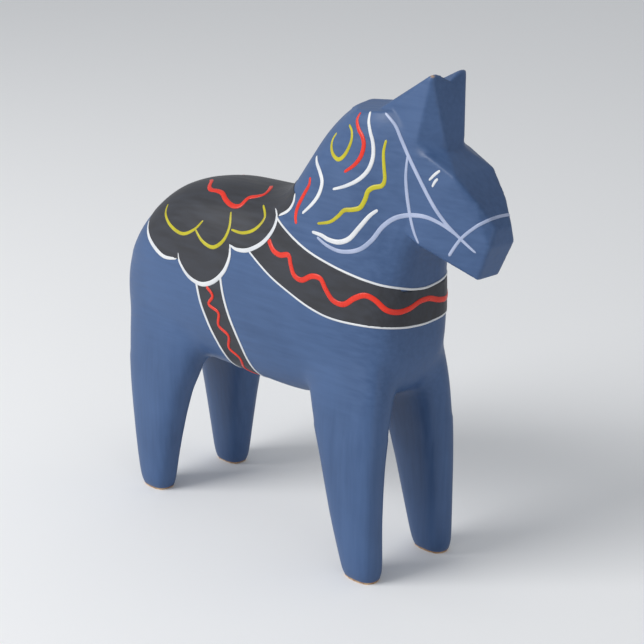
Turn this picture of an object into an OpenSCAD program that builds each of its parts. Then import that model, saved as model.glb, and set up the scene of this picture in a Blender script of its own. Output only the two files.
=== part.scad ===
// Dala horse: one block of pine carved to shape, with a painted harness.
// +X is forwards, +Y is the horse's left, +Z is up. The origin lies on the ground,
// midway between the rump and the nose. Millimetres.

/* [Body] */
// Height to the tips of the ears
horse_h = 130; // [60:5:260]
// Half width of the barrel behind the forelegs
barrel_half = 17; // [15:0.5:19]
// Half width of the neck under the ears
neck_half = 9; // [8:0.25:10]

/* [Paint] */
// Thickness of the dark grounds of the harness
ground_t = 0.2; // [0.1:0.05:0.4]
// Thickness of a brush stroke
stroke_t = 0.25; // [0.1:0.05:0.5]
// Brush width against the drawn one
brush = 1; // [0.7:0.05:1.4]

/* [Hidden] */

blue = [0.33, 0.43, 0.58];
charcoal = [0.23, 0.24, 0.26];
white = [0.93, 0.93, 0.94];
yellow = [0.78, 0.74, 0.13];
red = [0.93, 0.26, 0.15];
strap_grey = [0.7, 0.74, 0.84];

drawn_h = 130;              // every coordinate below is drawn for a horse this tall
scale_k = horse_h / drawn_h;
rump_x = -56;
nose_x = 72.9;
centre_x = (rump_x + nose_x) / 2;

ring_n = 26;                // points round a rib
rib_steps = 3;              // rings between two ribs
leg_steps = 2;
edge_r = 0.7;               // how far the knife's edges are rubbed down

// Barrel and neck as ribs, from the rump to the poll.
// [top x, top z, bottom x, bottom z, half width, squareness above, squareness below]
trunk_ribs = [
    [-56, 61, -56, 50, 6, 2.2, 2.2],
    [-55, 67.5, -55.3, 45, 11, 2.3, 2.4],
    [-52, 75, -53, 41.8, 14.2, 2.4, 2.6],
    [-46, 82, -48, 40.8, 16, 2.5, 2.8],
    [-36, 89, -37.5, 41.2, 16.9, 2.5, 3],
    [-22, 92.3, -22.5, 41.6, barrel_half, 2.5, 3.1],
    [-9, 93, -7, 41.4, barrel_half - 0.3, 2.5, 3.1],
    [0, 93.6, 8, 41.2, barrel_half - 0.4, 2.5, 3.1],
    [7.6, 97, 18, 41.8, barrel_half - 0.5, 2.4, 3],
    [12.8, 104.2, 31, 44, barrel_half - 0.9, 2.3, 3],
    [18.2, 111.9, 42.8, 48, 14.8, 2.3, 3.2],
    [23.4, 117, 47.3, 55.5, 13.6, 2.3, 3.6],
    [29, 120.2, 48.3, 66, 12, 2.8, 3.9],
    [35.5, 121.5, 48.8, 77.5, 10.2, 4.6, 4],
    [41, 121.8, 50.8, 87, neck_half + 0.2, 5.5, 3.8],
    [46, 121, 57, 92, neck_half - 1.5, 5.5, 3.6]
];

// Legs as level slices. [z, back x, front x, outer y, inner y, squareness]
fore_slices = [
    [0, 35.6, 45.6, 16.4, 9.6, 2.6],
    [1.2, 34.9, 46.2, 16.8, 9.2, 2.8],
    [6, 33.2, 46.4, 17, 9, 2.8],
    [16, 30, 46.4, 17.2, 9, 2.8],
    [31, 26, 46.5, 17.3, 8, 2.9],
    [43, 21.6, 46.6, 16.6, 5.8, 3],
    [54, 19.5, 46.2, 15.2, 3, 3],
    [64, 23, 44, 13.4, 1, 3]
];
hind_slices = [
    [0, -46.2, -37.2, 17.2, 10.4, 2.6],
    [1.2, -47.2, -36.4, 17.7, 10, 2.8],
    [6, -48.4, -35.2, 17.9, 9.8, 2.8],
    [16, -50, -33, 18, 9.2, 2.8],
    [31, -52, -29, 18, 7.6, 2.8],
    [43, -53.6, -23.8, 17.4, 5, 2.7],
    [54, -54.6, -22, 16.2, 2.5, 2.5],
    [64, -54, -25, 14.4, 1, 2.3]
];

// Head and ears as the corners that the knife leaves. [x, half width, z]
ear_tip = [54.4, 6, 129.3];
waist = [56.8, 3.3, 112];           // narrow place in front of the ears
brow = [62.9, 7.1, 107.4];
ear_heel = [51.3, 7.8, 112.8];      // back corner of the hollow cut under each ear
head_corners = [
    waist, brow, ear_heel, [68.3, 5.3, 101.7],
    [72.1, 3.2, 96.4], [71.8, 4.6, 92.3], [68.2, 3.9, 84.2],
    [62, 6.8, 89.2], [54, 8.5, 90.4], [40, neck_half - 0.4, 97], [39, 7.2, 118]
];
ear_corners = [ear_tip, [51.2, 6.3, 127.1], [46, 6.9, 122.8], [39, 6.4, 119.8], ear_heel, waist, [44, 7.6, 108]];

// ---- shapes ----

function side_sign(v) = v < 0 ? -1 : 1;
function squared(v, n) = side_sign(v) * pow(abs(v), 2 / n);

// Catmull-Rom between rows b and c, with a and d as their neighbours
function between(a, b, c, d, t) =
    0.5 * (2 * b + (c - a) * t + (2 * a - 5 * b + 4 * c - d) * t * t + (3 * b - a - 3 * c + d) * t * t * t);
function smooth_rows(rows, steps) = let (last = len(rows) - 1) [
    for (i = [0:last - 1], s = [0:steps - 1])
        between(rows[max(i - 1, 0)], rows[i], rows[i + 1], rows[min(i + 2, last)], s / steps),
    rows[last]
];

// One rib of the barrel: a squared oval through its top and bottom points
function rib_ring(r) =
    let (top = [r[0], r[1]], low = [r[2], r[3]], mid = (top + low) / 2,
         half = norm(top - low) / 2, up = (top - low) / (2 * half))
    [for (j = [0:ring_n - 1])
        let (a = 360 * j / ring_n, n = cos(a) > 0 ? r[5] : r[6],
             v = squared(cos(a), n) * half,
             y = -squared(sin(a), n) * r[4])
        [mid[0] + up[0] * v, y, mid[1] + up[1] * v]];

// One level slice of a leg, on the horse's left
function slice_ring(s) =
    let (cx = (s[1] + s[2]) / 2, cy = (s[3] + s[4]) / 2,
         hx = (s[2] - s[1]) / 2, hy = (s[3] - s[4]) / 2)
    [for (j = [0:ring_n - 1])
        let (a = 360 * j / ring_n)
        [cx + hx * squared(cos(a), s[5]), cy + hy * squared(sin(a), s[5]), s[0]]];

// The same rings moved out square to the surface that they make
function swollen(rings, t) = let (n = len(rings[0]), last = len(rings) - 1)
    [for (i = [0:last]) [for (j = [0:n - 1])
        let (along = rings[min(i + 1, last)][j] - rings[max(i - 1, 0)][j],
             around = rings[i][(j + 1) % n] - rings[i][(j + n - 1) % n],
             out = cross(around, along))
        rings[i][j] + out * t / norm(out)]];

module loft(rings) {
    n = len(rings[0]);
    last = len(rings) - 1;
    points = [for (ring = rings, p = ring) p];
    sides = [for (i = [0:last - 1], j = [0:n - 1])
        let (a = i * n + j, b = i * n + (j + 1) % n) each [[a, a + n, b + n], [a, b + n, b]]];
    ends = [[for (j = [0:n - 1]) j], [for (j = [n - 1:-1:0]) last * n + j]];
    polyhedron(points = points, faces = concat(sides, ends), convexity = 4);
}

module both_sides() {
    children();
    mirror([0, 1, 0]) children();
}

module corner_hull(corners, grow) {
    hull() both_sides() for (c = corners)
        translate([c[0], c[1] - edge_r, c[2]]) sphere(edge_r + grow, $fn = 16);
}

module trunk(grow = 0) {
    loft(swollen([for (r = smooth_rows(trunk_ribs, rib_steps)) rib_ring(r)], grow));
}

module legs(grow = 0) {
    both_sides() for (slices = [fore_slices, hind_slices])
        loft(swollen([for (s = smooth_rows(slices, leg_steps)) slice_ring(s)], grow));
}

// Two long cuts flatten the crest behind the ears and leave an edge down each side
module crest_cut(grow) {
    both_sides() translate([28, 0, 120.3 + grow]) rotate([0, -6, 0]) rotate([-12, 0, 0])
        translate([-6, -1, 0]) cube([22, 16, 6]);
}

// The groove between the ears climbs from the poll to the forehead
module ear_groove() {
    hull() {
        translate([36, 0, 122.8]) sphere(0.5, $fn = 12);
        translate([58, 0, 129.4]) sphere(0.5, $fn = 12);
        both_sides() for (x = [36, 58]) translate([x, 5.2, 132.4]) sphere(0.5, $fn = 12);
    }
}

module horse(grow = 0) {
    union() {
        difference() {
            trunk(grow);
            crest_cut(grow);
        }
        legs(grow);
        corner_hull(head_corners, grow);
        corner_hull(ear_corners, grow);
    }
}

// Keeps the finished shape as one mesh, its size unchanged
module as_mesh() {
    resize([0, 0, 0]) children();
}

module placed() {
    scale(scale_k) translate([-centre_x, 0, 0]) children();
}

module carved_body() {
    color(blue) as_mesh() placed() difference() {
        horse();
        ear_groove();
    }
}

// ---- painted harness ----
// Paths are side views, [x, z], of marks that are the same on both flanks.

saddle_hem = [
    [-43.5, 78], [-41.5, 75.5], [-37.5, 72.8], [-32.5, 71], [-27, 71.6], [-26, 71.4], [-22.5, 68],
    [-18.5, 66.7], [-15, 67], [-11, 69], [-7.5, 72.5], [-6.2, 76.5], [-6.5, 79.3], [-3.5, 78.7],
    [1, 79.4], [6, 82.3], [9, 86.3], [9.5, 89.6], [13.5, 91.7], [15, 94], [15, 96]
];
hem_rear = [[-43.8, 78.5], [-41.5, 75.5], [-37.5, 72.8], [-32.5, 71], [-27, 71.6]];
hem_middle = [
    [-26.5, 74.4], [-25.8, 71.3], [-22.5, 68], [-18.5, 66.7], [-15, 67], [-11, 69],
    [-7.5, 72.5], [-6, 76.5], [-6.5, 79.5]
];
hem_front = [[-6.5, 79.5], [-3.5, 78.7], [1, 79.4], [6, 82.3], [9, 86.3], [8.8, 89.4], [6, 91]];
hem_withers = [[9.5, 89.6], [13.5, 91.7], [15, 94], [14.5, 96]];
garland_rear = [[-36, 84], [-35, 81.8], [-31, 79.5], [-25.5, 78.5], [-21, 80.4], [-18.2, 83.3]];
garland_middle = [[-20.5, 80.6], [-17, 78.2], [-12.6, 77.4], [-9, 79.8], [-7.8, 83.5], [-9.3, 87]];
garland_front = [[-7, 83], [-2.3, 83], [2, 84.8], [4, 88], [0.8, 90.2]];

collar_top = [[8, 90], [16.5, 86.5], [23, 83.6], [31, 81.2], [38, 79.5], [44, 78.2], [49, 77.4], [54, 77]];
collar_low = [[0.5, 79], [9, 75], [17, 71.8], [25, 69], [32.5, 67.7], [39, 67.4], [46, 67.2], [54, 67]];
collar_snake = [
    [8.5, 83.4], [10.6, 81.2], [13.5, 80.6], [16.8, 81.4], [17.7, 79], [19, 76.6], [21.5, 75.9],
    [25, 77.5], [27.6, 77.4], [29.3, 75], [31.6, 72.6], [35, 72.3], [38, 74.4], [40.5, 75.5],
    [43, 74.4], [45.4, 72.4], [50, 72]
];

girth_back = [[-19, 67], [-17.5, 61.7], [-15, 56.2], [-12.2, 50.5], [-10.8, 46], [-10, 39]];
girth_fore = [[-9.5, 70], [-8.2, 65.4], [-5.9, 59.6], [-2.6, 52.8], [-0.8, 46], [0, 39]];
girth_snake = [
    [-14.7, 66.3], [-12.3, 64.3], [-13.9, 61.6], [-10.2, 60], [-10.6, 56.4], [-7, 54.2],
    [-7.9, 50.4], [-4.6, 48], [-5.6, 45], [-4.4, 39]
];

// Beside the spine, seen from above, [x, y], one side's wavy line
back_wave = [
    [-27.2, -4.4], [-25.4, -5.4], [-23.2, -7.8], [-21.2, -8.9], [-18.8, -8.8], [-16.3, -9.3],
    [-13.6, -10.4], [-11, -11.3], [-8.8, -11.5], [-7, -11], [-6.1, -9.2], [-4, -8.2],
    [-2.2, -6.9], [-2.8, -4.8], [-4.6, -2.4]
];

// Paint between two depths above the wood, wherever the child's shape meets it
module film(from, to) {
    placed() difference() {
        intersection() {
            horse(to);
            children();
        }
        horse(from);
    }
}

// Runs a side view through the whole horse
module through_sides() {
    rotate([90, 0, 0]) linear_extrude(60, center = true) children();
}

// Outline of a brush stroke: thin where the brush lands and lifts, unless it's even
module stroke(path, w, even = false) {
    pts = smooth_rows(path, 2);
    last = len(pts) - 1;
    out = [for (i = [0:last])
        let (d = pts[min(i + 1, last)] - pts[max(i - 1, 0)], t = i / last,
             half = brush * w / 2 * (even ? 1 : 0.35 + 0.65 * pow(sin(180 * t), 0.6)))
        [-d[1], d[0]] * half / norm(d)];
    polygon(concat(
        [for (i = [0:last]) pts[i] + out[i]],
        [for (i = [last:-1:0]) pts[i] - out[i]]
    ));
}

module on_wood(path, w, even = false) {
    film(0, stroke_t) through_sides() stroke(path, w, even);
}
module on_ground(path, w, even = false) {
    film(ground_t, ground_t + stroke_t) through_sides() stroke(path, w, even);
}

module hem_strokes() {
    for (path = [hem_rear, hem_middle, hem_front, hem_withers]) stroke(path, 1.3);
}
module saddle_shape() {
    polygon(concat([[-46, 96]], saddle_hem, [[6, 99]]));
}
module collar_shape() {
    difference() {
        polygon(concat(smooth_rows(collar_top, 2), [for (i = [len(collar_low) - 1:-1:0]) collar_low[i]]));
        saddle_shape();
        hem_strokes();
    }
}

module saddle_cloth() {
    color(charcoal) as_mesh() film(0, ground_t) through_sides() difference() {
        saddle_shape();
        hem_strokes();
    }
}
module breast_collar() {
    color(charcoal) as_mesh() film(0, ground_t) through_sides() difference() {
        collar_shape();
        stroke(collar_top, 0.55, true);
        stroke(collar_low, 0.55, true);
    }
}
module girth_strap() {
    color(charcoal) as_mesh() film(0, ground_t) through_sides() difference() {
        polygon(concat(girth_back, [for (i = [len(girth_fore) - 1:-1:0]) girth_fore[i]], [[-14, 74]]));
        saddle_shape();
        hem_strokes();
        stroke(girth_back, 0.8, true);
        stroke(girth_fore, 0.8, true);
    }
}

module saddle_edge_rear() color(white) as_mesh() on_wood(hem_rear, 1.3);
module saddle_edge_middle() {
    color(white) as_mesh() film(0, stroke_t) through_sides() difference() {
        stroke(hem_middle, 1.3);
        stroke(hem_rear, 1.3);
    }
}
module saddle_edge_front() {
    color(white) as_mesh() film(0, stroke_t) through_sides() difference() {
        stroke(hem_front, 1.3);
        stroke(hem_middle, 1.3);
    }
}
module saddle_edge_withers() {
    color(white) as_mesh() film(0, stroke_t) through_sides() difference() {
        stroke(hem_withers, 1.1);
        stroke(hem_front, 1.3);
    }
}
module saddle_garland_rear() color(yellow) as_mesh() on_ground(garland_rear, 1);
module saddle_garland_middle() {
    color(yellow) as_mesh() film(ground_t, ground_t + stroke_t) through_sides() difference() {
        stroke(garland_middle, 1.1);
        stroke(garland_rear, 1);
    }
}
module saddle_garland_front() {
    color(yellow) as_mesh() film(ground_t, ground_t + stroke_t) through_sides() difference() {
        stroke(garland_front, 1);
        stroke(garland_middle, 1.1);
    }
}
module saddle_wave() {
    color(red) as_mesh() both_sides() film(ground_t, ground_t + stroke_t)
        translate([0, 0, 60]) linear_extrude(60) stroke(back_wave, 1.1, true);
}

module collar_edge(path) {
    color(white) as_mesh() film(0, stroke_t) through_sides() difference() {
        stroke(path, 0.55, true);
        saddle_shape();
        hem_strokes();
    }
}
module collar_edge_upper() collar_edge(collar_top);
module collar_edge_lower() collar_edge(collar_low);
module collar_wave() color(red) as_mesh() on_ground(collar_snake, 1.4, true);

module girth_edge(path) {
    color(white) as_mesh() film(0, stroke_t) through_sides() difference() {
        stroke(path, 0.8, true);
        saddle_shape();
        hem_strokes();
    }
}
module girth_edge_rear() girth_edge(girth_back);
module girth_edge_front() girth_edge(girth_fore);
module girth_wave() {
    color(red) as_mesh() on_ground(girth_snake, 0.9, true);
}

module mane_loop() {
    color(yellow) as_mesh() on_wood([
        [27, 113], [26, 111], [26.3, 109], [27.8, 107.6], [29.8, 107], [31.2, 108.2], [32.3, 110.4],
        [32.6, 112.8], [31.8, 114.6], [30.4, 115.6]
    ], 1);
}
module mane_crest_stroke() {
    color(red) as_mesh() on_wood([
        [33, 118.6], [32.8, 116.8], [34, 114.9], [36, 113.2], [36.8, 111], [36.2, 108.6],
        [34.6, 106.4], [32, 104.5]
    ], 1.1);
}
module mane_long_stroke() {
    color(white) as_mesh() on_wood([
        [36.2, 119.2], [36.8, 117.2], [38.2, 115], [39.6, 112.4], [39.9, 109], [38.7, 105.8],
        [36.2, 103], [32.8, 101.2], [29, 100]
    ], 1);
}
module mane_curl() {
    color(yellow) as_mesh() on_wood([
        [43.2, 113.6], [42.8, 110.6], [43.2, 107.4], [43.5, 104.4], [42.8, 102.6], [40.6, 101.8],
        [39.2, 100.6], [38.6, 98.4], [37.4, 96.4], [35.2, 95.8], [33.2, 95.2], [31.6, 93.6],
        [29.2, 91.8], [25.5, 90.8]
    ], 1.1);
}
module mane_rear_stroke() {
    color(white) as_mesh() on_wood([
        [21.4, 106.8], [22, 105], [24.2, 103], [25.4, 100.8], [25, 98], [23.2, 95.3], [20.2, 92.4]
    ], 1);
}
module mane_withers_stroke() {
    color(red) as_mesh() on_wood([
        [20.5, 101.5], [21, 99.4], [19.4, 96.6], [18, 93.8], [17.8, 91.2], [18.5, 89.4]
    ], 1.1);
}
module mane_low_stroke() {
    color(white) as_mesh() on_wood([
        [24, 88.6], [27, 88.3], [29.6, 87.6], [32.4, 87.6], [35.2, 88.9], [37.6, 91.7], [40, 94.8],
        [42.2, 96.8]
    ], 1.1);
}

cheek_path = [[41, 119.6], [44.7, 117.4], [47.3, 114.4], [50, 111.2], [53.4, 106.6], [57.5, 101.2], [61.3, 96.6], [68.6, 90]];
rein_path = [
    [25.5, 87.4], [29, 85.6], [33.2, 84.8], [37.8, 86], [41, 89], [43.6, 92.6], [46.8, 95.4],
    [51, 96.8], [56, 97.2], [60.5, 96], [65.2, 93.6]
];
lash_path = [[50, 111.2], [49.6, 106.2], [50, 101.6], [51, 96.6], [52.4, 93], [54, 90.4]];
nose_path = [[61.5, 88], [65.2, 93.2], [69.2, 96.9], [72.4, 99], [78, 102]];

module cheek_strap() color(strap_grey) as_mesh() on_wood(cheek_path, 1.1);
module rein() {
    color(strap_grey) as_mesh() film(0, stroke_t) through_sides() difference() {
        stroke(rein_path, 1.1);
        stroke(cheek_path, 1.1);
    }
}
module throat_lash() {
    color(strap_grey) as_mesh() film(0, stroke_t) through_sides() difference() {
        stroke(lash_path, 0.9);
        stroke(cheek_path, 1.1);
        stroke(rein_path, 1.1);
    }
}
module noseband() {
    color(strap_grey) as_mesh() film(0, stroke_t) through_sides() difference() {
        stroke(nose_path, 0.8, true);
        stroke(cheek_path, 1.1);
        stroke(rein_path, 1.1);
    }
}
module eye_upper_dash() color(white) as_mesh() on_wood([[59.8, 108.6], [58.3, 107.4], [56.8, 105.8]], 0.9);
module eye_lower_dash() color(white) as_mesh() on_wood([[59.2, 106.8], [58.2, 106], [57.4, 104.9]], 0.8);

carved_body();
saddle_cloth();
breast_collar();
girth_strap();
saddle_edge_rear();
saddle_edge_middle();
saddle_edge_front();
saddle_edge_withers();
saddle_garland_rear();
saddle_garland_middle();
saddle_garland_front();
saddle_wave();
collar_edge_upper();
collar_edge_lower();
collar_wave();
girth_edge_rear();
girth_edge_front();
girth_wave();
mane_loop();
mane_crest_stroke();
mane_long_stroke();
mane_curl();
mane_rear_stroke();
mane_withers_stroke();
mane_low_stroke();
cheek_strap();
rein();
throat_lash();
noseband();
eye_upper_dash();
eye_lower_dash();
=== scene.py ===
"""A carved and painted wooden horse, 13 cm tall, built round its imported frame."""
import math

import bmesh
import bpy
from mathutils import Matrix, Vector
from mathutils.bvhtree import BVHTree


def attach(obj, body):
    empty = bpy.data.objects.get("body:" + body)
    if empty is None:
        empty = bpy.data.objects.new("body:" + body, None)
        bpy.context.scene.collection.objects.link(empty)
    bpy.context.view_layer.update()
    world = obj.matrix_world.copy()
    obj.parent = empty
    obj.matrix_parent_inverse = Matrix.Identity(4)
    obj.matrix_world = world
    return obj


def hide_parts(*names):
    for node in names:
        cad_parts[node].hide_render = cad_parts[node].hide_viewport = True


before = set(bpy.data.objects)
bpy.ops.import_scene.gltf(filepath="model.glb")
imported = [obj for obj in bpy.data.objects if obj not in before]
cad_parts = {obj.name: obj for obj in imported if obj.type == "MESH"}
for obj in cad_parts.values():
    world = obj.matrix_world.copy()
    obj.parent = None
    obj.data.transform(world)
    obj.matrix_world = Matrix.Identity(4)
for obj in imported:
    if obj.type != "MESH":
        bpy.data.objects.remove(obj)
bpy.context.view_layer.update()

# ---- The block of pine ----
# One block, sawn to the outline and cut to shape with a knife, then sanded until only the
# planes of the head keep their edges. It has no joints: legs, neck and ears are all one wood.
MM = 0.001
CENTRE_X = 8.45                 # middle of the length, in the drawing's millimetres
SOLE = 0.9                      # below this height the feet stay flat on the table


def at(x, y, z):
    return Vector((x - CENTRE_X, y, z)) * MM


def drawn(v):
    return Vector((v.x / MM + CENTRE_X, v.y / MM, v.z / MM))


def made_mesh(name, source):
    """The finished mesh of an object that still has its modifiers or its curve."""
    shown = source.evaluated_get(bpy.context.evaluated_depsgraph_get())
    mesh = bpy.data.meshes.new_from_object(shown)
    mesh.name = name
    return mesh


def put_in_scene(name, mesh):
    piece = bpy.data.objects.new(name, mesh)
    bpy.context.scene.collection.objects.link(piece)
    return piece


rough = bmesh.new()
rough.from_mesh(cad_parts["carved_body"].data)
bmesh.ops.remove_doubles(rough, verts=rough.verts, dist=0.01 * MM)
sawn_mesh = bpy.data.meshes.new("sawn_block")
rough.to_mesh(sawn_mesh)
rough.free()
sawn = put_in_scene("sawn_block", sawn_mesh)
even = sawn.modifiers.new("even", "REMESH")
even.mode = "SHARP"
even.octree_depth = 8
even.scale = 0.78
even.use_remove_disconnected = True
carved_mesh = made_mesh("carved_block", sawn)
bpy.data.objects.remove(sawn)

carved = bmesh.new()
carved.from_mesh(carved_mesh)
place = {v: drawn(v.co) for v in carved.verts}


def sand(verts, rubs):
    """Rubs the wood down, leaving the soles flat on the table."""
    high = [v for v in verts if place[v].z > SOLE]
    low = [v for v in verts if place[v].z <= SOLE]
    rub = {"factor": 0.5, "use_axis_x": True, "use_axis_y": True}
    for _ in range(rubs):
        bmesh.ops.smooth_vert(carved, verts=high, use_axis_z=True, **rub)
        bmesh.ops.smooth_vert(carved, verts=low, **rub)


def behind_head(p):
    """How far behind the line from the poll down to the throat a point lies."""
    return 45.5 - p.x + (90 - p.z) * 0.12


def off_edges(p):
    """Clear of the flat crest behind the ears and of the jaw, whose edges stay crisp."""
    off_crest = p.z < 116.5 or p.x < 27
    off_jaw = p.x < 41 or p.z < 86
    return off_crest and off_jaw


def at_leg_root(p):
    """Where the legs run into the trunk."""
    return 38 < p.z < 68 and abs(p.y) > 3 and (p.x < -18 or p.x > 14)


def near_line(p, start, end):
    """How far a point lies from a straight line between two corners."""
    a, b = Vector(start), Vector(end)
    along = max(0, min(1, (p - a).dot(b - a) / (b - a).length_squared))
    return (p - a.lerp(b, along)).length


sand(carved.verts, 1)
for depth, rubs in ((0, 8), (3, 16)):
    sand([v for v in carved.verts if behind_head(place[v]) > depth and off_edges(place[v])], rubs)
sand([v for v in carved.verts if at_leg_root(place[v])], 30)
for flank in (-1, 1):
    for start, end, reach, rubs in (
        ((52.5, 7 * flank, 112.8), (56, 4 * flank, 112.2), 2.2, 14),  # hollow under the ear
        ((46, 8 * flank, 112), (44, 8 * flank, 98), 6, 20),           # cheek
        ((60.5, 7 * flank, 102), (56, 8 * flank, 95), 3.6, 20),       # side of the face
    ):
        sand([v for v in carved.verts if near_line(place[v], start, end) < reach], rubs)
wood_surface = BVHTree.FromBMesh(carved)
for face in carved.faces:
    face.smooth = True
carved.to_mesh(carved_mesh)
carved_horse = put_in_scene("carved_horse", carved_mesh)


def srgb(red, green, blue):
    """A paint chip read off as 0 to 255, as the shader wants it."""
    chip = [c / 255 for c in (red, green, blue)]
    return tuple(c / 12.92 if c <= 0.04045 else ((c + 0.055) / 1.055) ** 2.4 for c in chip) + (1,)


def new_finish(name):
    finish = bpy.data.materials.new(name)
    finish.use_nodes = True
    nodes, links = finish.node_tree.nodes, finish.node_tree.links
    return finish, nodes, links, nodes["Principled BSDF"]


def noise(nodes, links, coords, stretch, scale, detail=3.0, turn=(0, 0, 0)):
    """Noise over the piece, drawn out along an axis by a small stretch there."""
    mapping = nodes.new("ShaderNodeMapping")
    mapping.inputs["Scale"].default_value = stretch
    mapping.inputs["Rotation"].default_value = turn
    texture = nodes.new("ShaderNodeTexNoise")
    texture.inputs["Scale"].default_value = scale
    texture.inputs["Detail"].default_value = detail
    links.new(coords, mapping.inputs["Vector"])
    links.new(mapping.outputs["Vector"], texture.inputs["Vector"])
    return texture.outputs["Fac"]


def ramp(nodes, links, value, low, high, dark=0.0, bright=1.0):
    """Spreads a value between low and high over dark to bright."""
    spread = nodes.new("ShaderNodeMapRange")
    spread.inputs["From Min"].default_value = low
    spread.inputs["From Max"].default_value = high
    spread.inputs["To Min"].default_value = dark
    spread.inputs["To Max"].default_value = bright
    links.new(value, spread.inputs["Value"])
    return spread.outputs["Result"]


def mix(nodes, links, amount, first, second):
    """Two colours or values mixed by an amount."""
    blend = nodes.new("ShaderNodeMix")
    blend.data_type = "RGBA"
    for value, name in ((amount, "Factor"), (first, "A"), (second, "B")):
        sockets = [s for s in blend.inputs if s.name == name]
        socket = [s for s in sockets if name == "Factor" or s.type == "RGBA"][0]
        if isinstance(value, (int, float, tuple)):
            socket.default_value = value
        else:
            links.new(value, socket)
    return [s for s in blend.outputs if s.type == "RGBA"][0]


def sums(nodes, links, how, first, second):
    """One step of arithmetic on two values."""
    step = nodes.new("ShaderNodeMath")
    step.operation = how
    for value, socket in ((first, step.inputs[0]), (second, step.inputs[1])):
        if isinstance(value, (int, float)):
            socket.default_value = value
        else:
            links.new(value, socket)
    return step.outputs[0]


BLUE = srgb(60, 86, 126)
DEEP_BLUE = srgb(52, 77, 115)
CHALKY_BLUE = srgb(78, 104, 144)
PINE = srgb(214, 178, 128)
PINE_GRAIN = srgb(178, 133, 84)

blue_enamel, nodes, links, shader = new_finish("blue_enamel_on_pine")
coords = nodes.new("ShaderNodeTexCoord").outputs["Object"]
height = nodes.new("ShaderNodeSeparateXYZ")
links.new(coords, height.inputs[0])
on_legs = ramp(nodes, links, height.outputs["Z"], 0.050, 0.040)
cloudy = noise(nodes, links, coords, (1, 1, 1), 45, 4)
brushed_along = noise(nodes, links, coords, (60, 900, 900), 1, 4, (0, 0.25, 0))
brushed_down = noise(nodes, links, coords, (900, 900, 60), 1, 4)
brushed = mix(nodes, links, on_legs, brushed_along, brushed_down)
coat = mix(nodes, links, ramp(nodes, links, cloudy, 0.35, 0.65), DEEP_BLUE, BLUE)
coat = mix(nodes, links, ramp(nodes, links, brushed, 0.35, 0.75, 0, 0.35), coat, CHALKY_BLUE)
worn_edge = nodes.new("ShaderNodeNewGeometry").outputs["Pointiness"]
patchy = noise(nodes, links, coords, (1, 1, 1), 260, 5)
edges = ramp(nodes, links, worn_edge, 0.53, 0.57)
rubbed = sums(nodes, links, "MULTIPLY", edges, ramp(nodes, links, patchy, 0.35, 0.6))
coat = mix(nodes, links, sums(nodes, links, "MULTIPLY", rubbed, 0.55), coat, CHALKY_BLUE)
rings = noise(nodes, links, coords, (700, 700, 40), 1, 2)
pine = mix(nodes, links, ramp(nodes, links, rings, 0.4, 0.6), PINE, PINE_GRAIN)
corners = ramp(nodes, links, worn_edge, 0.56, 0.60)
bare = sums(nodes, links, "MULTIPLY", corners, ramp(nodes, links, patchy, 0.54, 0.57))
under_foot = ramp(nodes, links, height.outputs["Z"], 0.0007, 0.0003)
bare = sums(nodes, links, "MAXIMUM", bare, under_foot)
links.new(mix(nodes, links, bare, coat, pine), shader.inputs["Base Color"])
links.new(ramp(nodes, links, brushed, 0.3, 0.7, 0.36, 0.5), shader.inputs["Roughness"])
bump = nodes.new("ShaderNodeBump")
bump.inputs["Strength"].default_value = 0.35
bump.inputs["Distance"].default_value = 0.1 * MM
uneven = sums(nodes, links, "MULTIPLY", cloudy, 0.6)
links.new(sums(nodes, links, "ADD", brushed, uneven), bump.inputs["Height"])
links.new(bump.outputs["Normal"], shader.inputs["Normal"])
shader.inputs["Specular IOR Level"].default_value = 0.35

carved_mesh.materials.clear()
carved_mesh.materials.append(blue_enamel)
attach(carved_horse, "root")
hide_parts("carved_body")

# ---- The dark grounds: saddle cloth, breast collar and girth ----
# Charcoal enamel laid flat on the blue coat with a wide brush, before any bright colour.
# Each film stands about a tenth of a millimetre above the wood and reaches a little into it. The
# saddle cloth goes over the other two.
CHARCOAL = srgb(41, 42, 47)
CHARCOAL_THIN = srgb(51, 54, 62)
CHARCOAL_DEEP = srgb(34, 35, 40)
FILM = 0.5                      # whole depth of a film, most of it inside the wood
BESIDE = 30                     # well clear of the flanks, where a stencil starts and ends

# Side views in the drawing's millimetres, the hems from croup to withers. The points of these
# lines and of the strokes below came mostly out of a measuring script and were then nudged. They
# were not designed by hand.
HEM_REAR = [(-43.8, 78.5), (-41.5, 75.5), (-37.5, 72.8), (-32.5, 71), (-27, 71.6)]
HEM_MIDDLE = [
    (-26.5, 74.4), (-25.8, 71.3), (-22.5, 68), (-18.5, 66.7), (-15, 67), (-11, 69), (-7.5, 72.5),
    (-6, 76.5), (-6.5, 79.5)]
HEM_FRONT = [(-6.5, 79.5), (-3.5, 78.7), (1, 79.4), (6, 82.3), (9, 86.3), (8.8, 89.4), (6, 91)]
HEM_WITHERS = [(9.5, 89.6), (13.5, 91.7), (15, 94), (14.5, 96)]
COLLAR_TOP = [
    (8.9, 89), (16, 86.4), (23, 83.6), (31, 81.3), (38, 79.8), (43.6, 79), (47.7, 78.2),
    (48.6, 76.9), (56, 76.6)]
COLLAR_LOW = [
    (1, 79.2), (9, 75), (17, 71.8), (25, 69.1), (32.7, 67.8), (39.6, 67.7), (45.6, 68),
    (48.4, 67.4), (56, 67)]
GIRTH_BACK = [(-19, 67), (-17.5, 61.7), (-15, 56.2), (-12.2, 50.5), (-10.8, 46), (-10, 39)]
GIRTH_FORE = [(-9.3, 70.8), (-8.2, 65.4), (-5.9, 59.6), (-2.6, 52.8), (-0.8, 46), (0, 39)]


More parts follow.
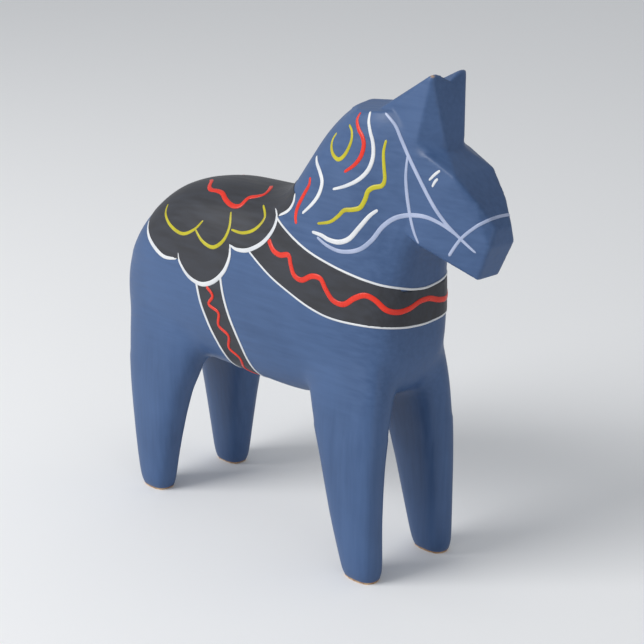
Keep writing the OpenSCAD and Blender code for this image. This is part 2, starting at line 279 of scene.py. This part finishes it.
def curve_through(points, steps=8):
    """A smooth line through a list of points, as a flexible rule would lie."""
    points = [Vector(p) for p in points]
    line = []
    for i in range(len(points) - 1):
        a, b = points[max(i - 1, 0)], points[i]
        c, d = points[i + 1], points[min(i + 2, len(points) - 1)]
        bend = 2 * a - 5 * b + 4 * c - d
        twist = 3 * b - a - 3 * c + d
        for s in range(steps):
            t = s / steps
            line.append(0.5 * (2 * b + (c - a) * t + bend * t * t + twist * t ** 3))
    return line + [points[-1]]


def ground_film(name, outline, low, high, proud):
    """The skin of the wood inside a side-view outline, lifted to stand proud of the wood."""
    skin = bmesh.new()
    skin.from_mesh(carved_mesh)
    centres = {f: drawn(f.calc_center_median()) for f in skin.faces}
    outside = [f for f, p in centres.items() if not all(low[i] < p[i] < high[i] for i in range(3))]
    bmesh.ops.delete(skin, geom=outside, context="FACES")
    skin.normal_update()
    for v in skin.verts:
        v.co += v.normal * proud * MM
    whole = [*skin.verts, *skin.edges, *skin.faces]
    bmesh.ops.solidify(skin, geom=whole, thickness=FILM * MM)
    bmesh.ops.recalc_face_normals(skin, faces=skin.faces)
    bmesh.ops.triangulate(skin, faces=skin.faces)
    skin_mesh = bpy.data.meshes.new(name + "_skin")
    skin.to_mesh(skin_mesh)
    skin.free()
    film = put_in_scene(name, skin_mesh)

    stencil = bmesh.new()
    corners = [stencil.verts.new(at(x, -BESIDE, z)) for x, z in outline]
    rim = [stencil.edges.new(pair) for pair in zip(corners, corners[1:] + corners[:1])]
    side = bmesh.ops.contextual_create(stencil, geom=rim)["faces"]
    through = bmesh.ops.extrude_face_region(stencil, geom=side)["geom"]
    far_side = [v for v in through if isinstance(v, bmesh.types.BMVert)]
    bmesh.ops.translate(stencil, verts=far_side, vec=(0, 2 * BESIDE * MM, 0))
    bmesh.ops.recalc_face_normals(stencil, faces=stencil.faces)
    stencil_mesh = bpy.data.meshes.new(name + "_stencil")
    stencil.to_mesh(stencil_mesh)
    stencil.free()
    mask = put_in_scene(name + "_stencil", stencil_mesh)

    cut = film.modifiers.new("cut", "BOOLEAN")
    cut.operation, cut.solver, cut.object = "INTERSECT", "EXACT", mask
    film_mesh = made_mesh(name, film)
    film.modifiers.clear()
    film.data = film_mesh
    bpy.data.objects.remove(mask)
    for polygon in film_mesh.polygons:
        polygon.use_smooth = True
    return film


charcoal_enamel, nodes, links, shader = new_finish("charcoal_enamel")
coords = nodes.new("ShaderNodeTexCoord").outputs["Object"]
wiped = noise(nodes, links, coords, (90, 900, 500), 1, 4, (0, 0.5, 0))
cloudy = noise(nodes, links, coords, (1, 1, 1), 80, 4)
coat = mix(nodes, links, ramp(nodes, links, wiped, 0.35, 0.75), CHARCOAL, CHARCOAL_THIN)
coat = mix(nodes, links, ramp(nodes, links, cloudy, 0.5, 0.75, 0, 0.4), coat, CHARCOAL_DEEP)
links.new(coat, shader.inputs["Base Color"])
links.new(ramp(nodes, links, wiped, 0.3, 0.7, 0.38, 0.52), shader.inputs["Roughness"])
bump = nodes.new("ShaderNodeBump")
bump.inputs["Strength"].default_value = 0.4
bump.inputs["Distance"].default_value = 0.08 * MM
links.new(wiped, bump.inputs["Height"])
links.new(bump.outputs["Normal"], shader.inputs["Normal"])
shader.inputs["Specular IOR Level"].default_value = 0.35

# For each ground its outline, the box of wood that it lies in, and how far it stands proud
grounds = {
    "saddle_cloth": (
        [(-46, 97)] + curve_through(HEM_REAR) + curve_through(HEM_MIDDLE[1:])
        + curve_through(HEM_FRONT[1:5]) + curve_through(HEM_WITHERS) + [(7, 99)],
        (-50, -20, 62), (18, 20, 101), 0.16),
    "breast_collar": (
        curve_through(COLLAR_TOP) + curve_through(COLLAR_LOW)[::-1] + [(6, 82.3), (9, 86.3)],
        (-3, -20, 62), (56, 20, 94), 0.12),
    "girth_strap": (
        curve_through(GIRTH_BACK) + curve_through(GIRTH_FORE)[::-1] + [(-11, 69), (-15, 67)],
        (-24, -20, 38), (4, 20, 76), 0.08),
}
for name, (outline, low, high, proud) in grounds.items():
    film = ground_film(name + "_paint", outline, low, high, proud)
    film.data.materials.clear()
    film.data.materials.append(charcoal_enamel)
    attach(film, "root")
    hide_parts(name)

# ---- The brush strokes ----
# Bright enamel laid with a round brush loaded with paint: a stroke lands thin, swells as the
# brush is pressed and thins as it lifts, and the wet paint stands a little proud.
ROOTED = 0.1                    # how far a stroke reaches into the wood
ON_HEM = 0.06                   # lift of a stroke half on a ground and half on the blue
ON_GROUND = 0.12                # lift of a stroke on the charcoal


def other_flank(route):
    return [(x, -y, z) for x, y, z in route]


def all_round(route):
    """A route that starts on one flank, meets the middle and goes on down the other."""
    return route + other_flank(route[:-1])[::-1]


def brush_stroke(name, node, finish, routes, width, proud=0.16, lift=0.0, landing=0.45,
                 even=False):
    """Strokes along routes near the wood, pressed on to it, width and proud in millimetres.

    Landing is how full the brush touches down, and an even stroke is as wide all along."""
    curve = bpy.data.curves.new(name, "CURVE")
    curve.dimensions = "3D"
    curve.bevel_depth = width / 2 * MM
    curve.bevel_resolution = 4
    curve.use_fill_caps = True
    for route in routes:
        line = [wood_surface.find_nearest(at(*p))[0] for p in curve_through(route)]
        last = len(line) - 1
        spline = curve.splines.new("POLY")
        spline.points.add(last)
        for i, p in enumerate(line):
            swell = math.sin(math.pi * (i / last)) ** 0.6
            press = 1.0 if even else landing + (1 - landing) * swell
            ends = min(1.0, 0.35 + 1.3 * min(i, last - i) / 2)
            spline.points[i].co = (*p, 1)
            spline.points[i].radius = press * ends
    loose = put_in_scene(name + "_line", curve)
    mesh = made_mesh(name, loose)
    bpy.data.objects.remove(loose)
    wet = bmesh.new()
    wet.from_mesh(mesh)
    for v in wet.verts:
        spot, normal, _, _ = wood_surface.find_nearest(v.co)
        off = (v.co - spot).dot(normal) / (width / 2 * MM)
        v.co = spot + normal * (lift + off * (proud if off > 0 else lift + ROOTED)) * MM
    bmesh.ops.recalc_face_normals(wet, faces=wet.faces)
    for face in wet.faces:
        face.smooth = True
    wet.to_mesh(mesh)
    wet.free()
    stroke = put_in_scene(name, mesh)
    mesh.materials.clear()
    mesh.materials.append(finish)
    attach(stroke, "root")
    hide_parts(node)


def enamel(name, colour, shade):
    """Gloss enamel with the hairs of the brush in it."""
    finish, nodes, links, shader = new_finish(name)
    coords = nodes.new("ShaderNodeTexCoord").outputs["Object"]
    hairs = noise(nodes, links, coords, (1, 1, 1), 900, 3)
    pooled = noise(nodes, links, coords, (1, 1, 1), 180, 3)
    coat = mix(nodes, links, ramp(nodes, links, pooled, 0.4, 0.7), colour, shade)
    links.new(coat, shader.inputs["Base Color"])
    links.new(ramp(nodes, links, hairs, 0.3, 0.7, 0.25, 0.4), shader.inputs["Roughness"])
    shader.inputs["Specular IOR Level"].default_value = 0.4
    bump = nodes.new("ShaderNodeBump")
    bump.inputs["Strength"].default_value = 0.3
    bump.inputs["Distance"].default_value = 0.06 * MM
    links.new(hairs, bump.inputs["Height"])
    links.new(bump.outputs["Normal"], shader.inputs["Normal"])
    return finish


white_enamel = enamel("white_enamel", srgb(212, 213, 214), srgb(198, 201, 206))
yellow_enamel = enamel("yellow_enamel", srgb(184, 175, 30), srgb(164, 153, 22))
red_enamel = enamel("red_enamel", srgb(216, 44, 20), srgb(200, 36, 18))
grey_enamel = enamel("grey_enamel", srgb(162, 172, 198), srgb(144, 156, 184))


def on_side(route, y=-18):
    """A side-view route as a route beside the right flank."""
    line = []
    for x, z in route:
        spot = wood_surface.ray_cast(at(x, -40, z), Vector((0, 1, 0)))[0]
        line.append((x, spot.y / MM if spot else y, z))
    return line


def both_flanks(route):
    return [on_side(route), other_flank(on_side(route))]


for node, route, width in (
    ("saddle_edge_rear", HEM_REAR, 1.45),
    ("saddle_edge_middle", HEM_MIDDLE, 1.45),
    ("saddle_edge_front", HEM_FRONT, 1.4),
    ("saddle_edge_withers", HEM_WITHERS, 1.1),
):
    brush_stroke(node + "_paint", node, white_enamel, both_flanks(route), width,
                 lift=ON_HEM)

GARLAND_REAR = [(-36, 84), (-35, 81.8), (-31, 79.5), (-25.5, 78.5), (-21, 80.4), (-18.2, 83.3)]
GARLAND_MIDDLE = [(-20.5, 80.6), (-17, 78.2), (-12.6, 77.4), (-9, 79.8), (-7.8, 83.5), (-9.3, 87)]
GARLAND_FRONT = [(-7, 83), (-2.3, 83), (2, 84.8), (4, 88), (0.8, 90.2)]
for node, route, width in (
    ("saddle_garland_rear", GARLAND_REAR, 1),
    ("saddle_garland_middle", GARLAND_MIDDLE, 1.1),
    ("saddle_garland_front", GARLAND_FRONT, 1),
):
    brush_stroke(node + "_paint", node, yellow_enamel, both_flanks(route), width,
                 lift=ON_GROUND)

# The red wavy lines on top of the cloth, one each side of the spine, the left one a little shorter
BACK_WAVE = [
    (-27.2, -4.4, 92), (-25.4, -5.4, 91), (-23.2, -7.8, 90), (-21.2, -8.9, 90),
    (-18.8, -8.8, 90), (-16.3, -9.3, 90), (-13.6, -10.4, 89), (-11, -11.3, 88.5),
    (-8.8, -11.5, 88.4), (-7, -11, 89), (-6.1, -9.2, 91), (-4, -8.2, 91.5), (-2.2, -6.9, 92),
    (-2.8, -4.8, 93), (-4.6, -2.4, 93)]
brush_stroke("saddle_wave_paint", "saddle_wave", red_enamel,
             [BACK_WAVE, other_flank(BACK_WAVE[1:-2])], 1.4, lift=0.16, landing=0.7)

# The thin white lines along both edges of the breast collar, right round the chest
for node, edge, chest in (
    ("collar_edge_upper", COLLAR_TOP,
     [(43.6, -12, 78.8), (47.8, -8, 77.9), (48.7, -4, 77), (48.7, 0, 76.6)]),
    ("collar_edge_lower", COLLAR_LOW, [(45.6, -11, 68), (48.3, -4, 67.4), (48.3, 0, 67.2)]),
):
    route = on_side(edge[:-4]) + chest
    brush_stroke(node + "_paint", node, white_enamel, [all_round(route)], 0.6,
                 0.14, lift=ON_HEM, even=True)
COLLAR_SNAKE = [
    (8.1, 83.4), (10.5, 81.3), (13.3, 80.6), (16.5, 81.2), (17.6, 79), (19, 76.6),
    (21.6, 75.9), (24.8, 77.5),
    (27.6, 77.4), (29.4, 75), (31.7, 72.7), (35, 72.3), (38.2, 74.5), (40.9, 75.6)]
route = on_side(COLLAR_SNAKE) + [
    (43.4, -12, 74.8), (45.8, -10.7, 72.6), (47.5, -8.3, 71.9), (48.4, -5, 72.4),
    (48.6, -2, 73.4), (48.6, 0, 73.6)]
brush_stroke("collar_wave_paint", "collar_wave", red_enamel, [all_round(route)],
             1.45, lift=ON_GROUND, even=True)

# The girth's edges and its wavy line, under the belly from flank to flank
for node, edge, x in (
    ("girth_edge_rear", GIRTH_BACK, -10.3),
    ("girth_edge_front", GIRTH_FORE, -0.3),
):
    route = on_side(edge[:-1]) + [(x, -9, 41), (x, 0, 40)]
    brush_stroke(node + "_paint", node, white_enamel, [all_round(route)], 0.85,
                 0.14, lift=ON_HEM, even=True)
GIRTH_SNAKE = [
    (-14.7, 66.3), (-12.3, 64.3), (-13.9, 61.6), (-10.2, 60), (-10.6, 56.4), (-7, 54.2),
    (-7.9, 50.4), (-4.6, 48)]
route = on_side(GIRTH_SNAKE) + [
    (-5.8, -13, 43), (-4, -9, 41), (-6, -5.5, 41), (-4.5, -2, 41), (-4.5, 0, 41)]
brush_stroke("girth_wave_paint", "girth_wave", red_enamel, [all_round(route)],
             0.95, lift=ON_GROUND, even=True)

# The mane: free strokes down each side of the neck, in white, red and yellow
for node, slot, finish, width, route in (
    ("mane_loop", "yellow_enamel", yellow_enamel, 1.1, [
        (25.8, 112.6), (25, 110.9), (25.5, 109.2), (27, 107.7), (29.2, 107), (30.9, 107.9),
        (32.3, 110), (33, 112.4), (32.4, 114.3), (30.7, 115.4)]),
    ("mane_crest_stroke", "red_enamel", red_enamel, 1.25, [
        (34, 118.8), (33.7, 117), (34.9, 115.1), (36.5, 113.5), (37.2, 111.6), (36.7, 109),
        (35, 106.6), (32, 104.4)]),
    ("mane_long_stroke", "white_enamel", white_enamel, 1.15, [
        (37.4, 119.5), (37.7, 117.6), (38.6, 115.2), (39.8, 112.5), (40.1, 109.2), (39, 105.9),
        (36.5, 103.2), (32.9, 101.2), (29, 99.8)]),
    ("mane_curl", "yellow_enamel", yellow_enamel, 1.25, [
        (43.5, 113.7), (43, 110.8), (43.3, 107.5), (43.7, 104.4), (43, 102.7), (40.7, 101.9),
        (39.4, 100.8), (38.8, 98.7), (37.7, 96.7), (35.7, 95.9), (33.4, 95.4), (31.7, 93.7),
        (29.3, 91.9), (25.3, 90.8)]),
    ("mane_rear_stroke", "white_enamel", white_enamel, 1.25, [
        (19.6, 106), (20.8, 104.8), (23.3, 102.9), (24.9, 100.8), (24.5, 97.9), (22.6, 95.1),
        (19.5, 92.2)]),
    ("mane_withers_stroke", "red_enamel", red_enamel, 1.35, [
        (19.6, 101), (20, 99.2), (18.6, 96.4), (17.3, 93.3), (17.2, 91), (17.9, 89.3)]),
    ("mane_low_stroke", "white_enamel", white_enamel, 1.3, [
        (23.8, 88.5), (26.9, 88.2), (29.6, 87.5), (32.7, 87.5), (35.5, 88.8), (37.9, 91.8),
        (40.3, 95), (42.3, 96.7)]),
):
    brush_stroke(node + "_paint", node, finish, both_flanks(route), width)

# The bridle: thin pale strokes over the cheek, and the two dashes that stand for an eye
for node, slot, finish, width, route in (
    ("cheek_strap", "grey_enamel", grey_enamel, 1.1, [
        (42, 119.8), (45.2, 117.4), (47.3, 114.3), (49.5, 111), (52.9, 106.4), (57.1, 101),
        (61.2, 96.5), (65, 93.4), (69, 90.5)]),
    ("rein", "grey_enamel", grey_enamel, 1.2, [
        (25.6, 87.5), (29.1, 86), (33.4, 85.3), (38.1, 86.4), (41.3, 89.1), (43.8, 92.8),
        (47, 95.4), (51, 96.7), (55.8, 97.1), (60.3, 96), (65.2, 93.4)]),
    ("throat_lash", "grey_enamel", grey_enamel, 1, [
        (49.5, 111.1), (49.3, 106.1), (49.9, 101.6), (51, 96.5), (52.4, 92.9), (54, 90.4)]),
    ("eye_upper_dash", "white_enamel", white_enamel, 0.75, [
        (59.3, 108.7), (57.9, 107.6), (56.2, 105.9)]),
    ("eye_lower_dash", "white_enamel", white_enamel, 0.75, [
        (58.8, 106.7), (58, 105.9), (57.2, 104.5)]),
):
    brush_stroke(node + "_paint", node, finish, both_flanks(route), width, 0.13)
route = on_side([(62, 88.6), (65.2, 93.3), (69, 96.8)]) + [(71.2, -3.2, 98.5), (71.4, 0, 98.8)]
brush_stroke("noseband_paint", "noseband", grey_enamel, [all_round(route)],
             0.8, 0.13, even=True)

# ---- The table, the light and the camera ----
# A flat pale table, two soft boxes and the plain light of the room. The camera stands where it
# sees the horse from the front right and a little above.
floor = bmesh.new()
bmesh.ops.create_grid(floor, x_segments=2, y_segments=2, size=3)
floor_mesh = bpy.data.meshes.new("table_top")
floor.to_mesh(floor_mesh)
floor.free()
table_top = put_in_scene("table_top", floor_mesh)
paper, nodes, links, shader = new_finish("pale_paper")
shader.inputs["Base Color"].default_value = (0.88, 0.88, 0.88, 1)
shader.inputs["Roughness"].default_value = 0.9
floor_mesh.materials.append(paper)

room = bpy.data.worlds.new("room")
room.use_nodes = True
room.node_tree.nodes["Background"].inputs["Color"].default_value = (0.93, 0.96, 1, 1)
room.node_tree.nodes["Background"].inputs["Strength"].default_value = 0.55
bpy.context.scene.world = room


def soft_box(name, spot, aim, size, power):
    light = bpy.data.lights.new(name, "AREA")
    light.size, light.energy = size, power
    lamp = bpy.data.objects.new(name, light)
    lamp.location = spot
    lamp.rotation_euler = (Vector(aim) - Vector(spot)).to_track_quat("-Z", "Y").to_euler()
    bpy.context.scene.collection.objects.link(lamp)


soft_box("key", (-0.35, -0.8, 0.6), (0, 0, 0.06), 0.6, 8.5)
soft_box("fill", (0.8, -0.35, 0.03), (0, 0, 0.08), 0.4, 0.7)

AZIMUTH, ELEVATION, DISTANCE = math.radians(46.5), math.radians(18.2), 0.445
aim = at(12, 0, 59)
level = math.cos(ELEVATION)
back = Vector((math.sin(AZIMUTH) * level, -math.cos(AZIMUTH) * level, math.sin(ELEVATION)))
camera_data = bpy.data.cameras.new("camera")
camera_data.lens = 95
camera_data.sensor_width = 36
camera_data.clip_start = 0.01
camera = bpy.data.objects.new("camera", camera_data)
camera.location = aim + back * DISTANCE
camera.rotation_euler = (-back).to_track_quat("-Z", "Y").to_euler()
bpy.context.scene.collection.objects.link(camera)
bpy.context.scene.camera = camera
bpy.context.scene.view_settings.view_transform = "Standard"
